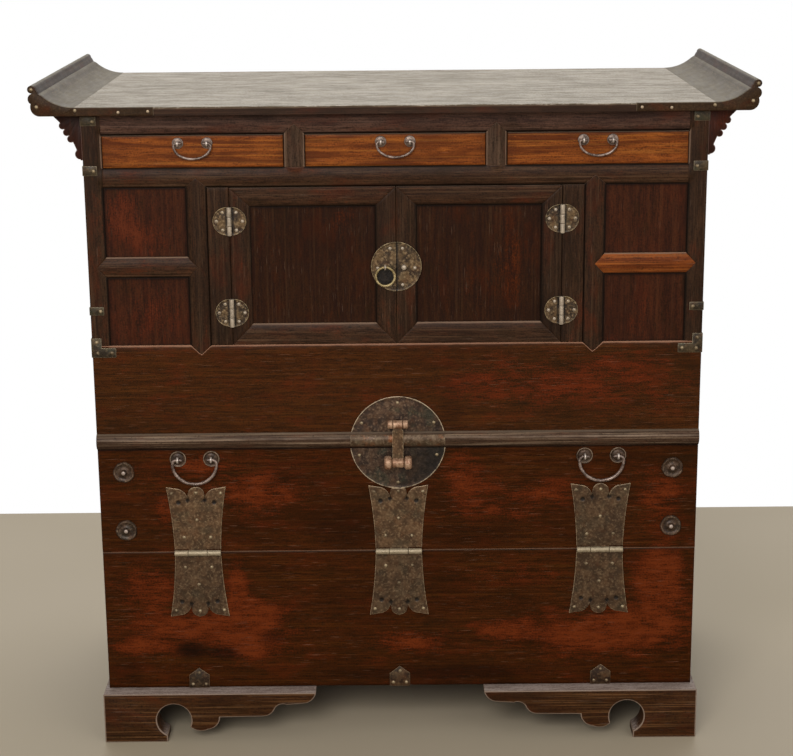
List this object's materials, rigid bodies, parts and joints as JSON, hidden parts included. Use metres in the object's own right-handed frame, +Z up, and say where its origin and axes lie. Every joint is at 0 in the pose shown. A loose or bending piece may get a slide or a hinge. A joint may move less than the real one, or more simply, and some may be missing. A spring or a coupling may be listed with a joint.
{
  "type": "two tier chest",
  "caption": "Two tier wooden chest with small drawers under a scroll ended top, framed doors over a drop front chest, and iron fittings.",
  "frame": {"origin": "on the floor under the middle of the chest's outer box", "axes": "+Z up, front towards -Y, +X to the right of someone who faces the front"},
  "size_m": [1.038, 0.5216, 1.0105],
  "materials": {
    "dark_board": "satin",
    "frame_wood": "satin",
    "panel_wood": "satin",
    "drawer_face": "satin",
    "inner_wood": "matte",
    "top_wood": "satin",
    "moulding_wood": "satin",
    "base_wood": "satin",
    "dark_iron": "satin",
    "worn_metal": "satin",
    "bail_metal": "satin",
    "nail_metal": "satin"
  },
  "bodies": {
    "carcass": {"side_boards": "dark_board", "back_boards": "inner_wood", "chest_floor": "inner_wood", "cabinet_floor": "inner_wood", "drawer_deck": "inner_wood", "drawer_partitions": "inner_wood", "corner_posts": "frame_wood", "top_rail": "frame_wood", "drawer_rail": "frame_wood", "drawer_dividers": "frame_wood", "inner_stiles": "frame_wood", "hinge_stiles": "frame_wood", "side_muntins": "frame_wood", "side_panels": "panel_wood", "front_board": "dark_board", "lower_front_board": "dark_board", "mid_moulding": "moulding_wood", "moulding_sleeve": "dark_iron", "top_board": "top_wood", "top_scroll_ends": "top_wood", "eave_brackets": "dark_board", "front_foot_right": "base_wood", "front_foot_left": "base_wood", "base_rails": "base_wood", "corner_straps": "dark_iron", "base_nail_plates": "dark_iron", "drop_hinge_lower_leaves": "dark_iron", "door_hinge_leaves": "worn_metal", "lock_plate_upper": "dark_iron", "hinge_pins": "dark_iron", "carcass_nails": "nail_metal"},
    "drop_front": {"drop_board": "dark_board", "drop_hinge_upper_leaves": "dark_iron", "lock_plate_lower": "dark_iron", "hasp_pin": "dark_iron", "rosettes": "worn_metal", "drop_bail_posts": "bail_metal", "drop_front_nails": "nail_metal"},
    "drop_bail_left": {"drop_bail_left": "bail_metal"},
    "drop_bail_right": {"drop_bail_right": "bail_metal"},
    "hasp": {"hasp": "worn_metal"},
    "door_left": {"door_left_frame": "frame_wood", "door_left_panel": "panel_wood", "door_left_fittings": "worn_metal"},
    "door_right": {"door_right_frame": "frame_wood", "door_right_panel": "panel_wood", "door_right_fittings": "worn_metal"},
    "door_ring": {"door_ring": "bail_metal"},
    "drawer_left": {"drawer_left_front": "drawer_face", "drawer_left_box": "inner_wood", "drawer_left_bail_posts": "bail_metal"},
    "drawer_left_bail": {"drawer_left_bail": "bail_metal"},
    "drawer_middle": {"drawer_middle_front": "drawer_face", "drawer_middle_box": "inner_wood", "drawer_middle_bail_posts": "bail_metal"},
    "drawer_middle_bail": {"drawer_middle_bail": "bail_metal"},
    "drawer_right": {"drawer_right_front": "drawer_face", "drawer_right_box": "inner_wood", "drawer_right_bail_posts": "bail_metal"},
    "drawer_right_bail": {"drawer_right_bail": "bail_metal"}
  },
  "joints": [
    {"name": "drop_front_hinge", "type": "hinge", "parent": "carcass", "child": "drop_front", "pos_m": [0, -0.2361, 0.302], "axis": [1, 0, 0], "range_deg": [0, 170]},
    {"name": "left_door_hinge", "type": "hinge", "parent": "carcass", "child": "door_left", "pos_m": [-0.24165, -0.2351, 0.742], "axis": [0, 0, -1], "range_deg": [0, 165]},
    {"name": "right_door_hinge", "type": "hinge", "parent": "carcass", "child": "door_right", "pos_m": [0.24165, -0.2351, 0.742], "axis": [0, 0, 1], "range_deg": [0, 165]},
    {"name": "left_drawer_slide", "type": "slide", "parent": "carcass", "child": "drawer_left", "axis": [0, -1, 0], "range_m": [0, 0.26]},
    {"name": "middle_drawer_slide", "type": "slide", "parent": "carcass", "child": "drawer_middle", "axis": [0, -1, 0], "range_m": [0, 0.26]},
    {"name": "right_drawer_slide", "type": "slide", "parent": "carcass", "child": "drawer_right", "axis": [0, -1, 0], "range_m": [0, 0.26]},
    {"name": "left_drop_bail_swing", "type": "hinge", "parent": "drop_front", "child": "drop_bail_left", "pos_m": [-0.305, -0.2382, 0.45], "axis": [1, 0, 0], "range_deg": [-95, 0]},
    {"name": "right_drop_bail_swing", "type": "hinge", "parent": "drop_front", "child": "drop_bail_right", "pos_m": [0.305, -0.2382, 0.45], "axis": [1, 0, 0], "range_deg": [-95, 0]},
    {"name": "left_drawer_bail_swing", "type": "hinge", "parent": "drawer_left", "child": "drawer_left_bail", "pos_m": [-0.2915, -0.2376, 0.924], "axis": [1, 0, 0], "range_deg": [-95, 0]},
    {"name": "middle_drawer_bail_swing", "type": "hinge", "parent": "drawer_middle", "child": "drawer_middle_bail", "pos_m": [0, -0.2376, 0.924], "axis": [1, 0, 0], "range_deg": [-95, 0]},
    {"name": "right_drawer_bail_swing", "type": "hinge", "parent": "drawer_right", "child": "drawer_right_bail", "pos_m": [0.2915, -0.2376, 0.924], "axis": [1, 0, 0], "range_deg": [-95, 0]},
    {"name": "door_ring_swing", "type": "hinge", "parent": "door_left", "child": "door_ring", "pos_m": [-0.0162, -0.2379, 0.741], "axis": [1, 0, 0], "range_deg": [-95, 0]},
    {"name": "hasp_swing", "type": "hinge", "parent": "drop_front", "child": "hasp", "pos_m": [0, -0.2442, 0.445], "axis": [-1, 0, 0], "range_deg": [-175, 0]}
  ]
}
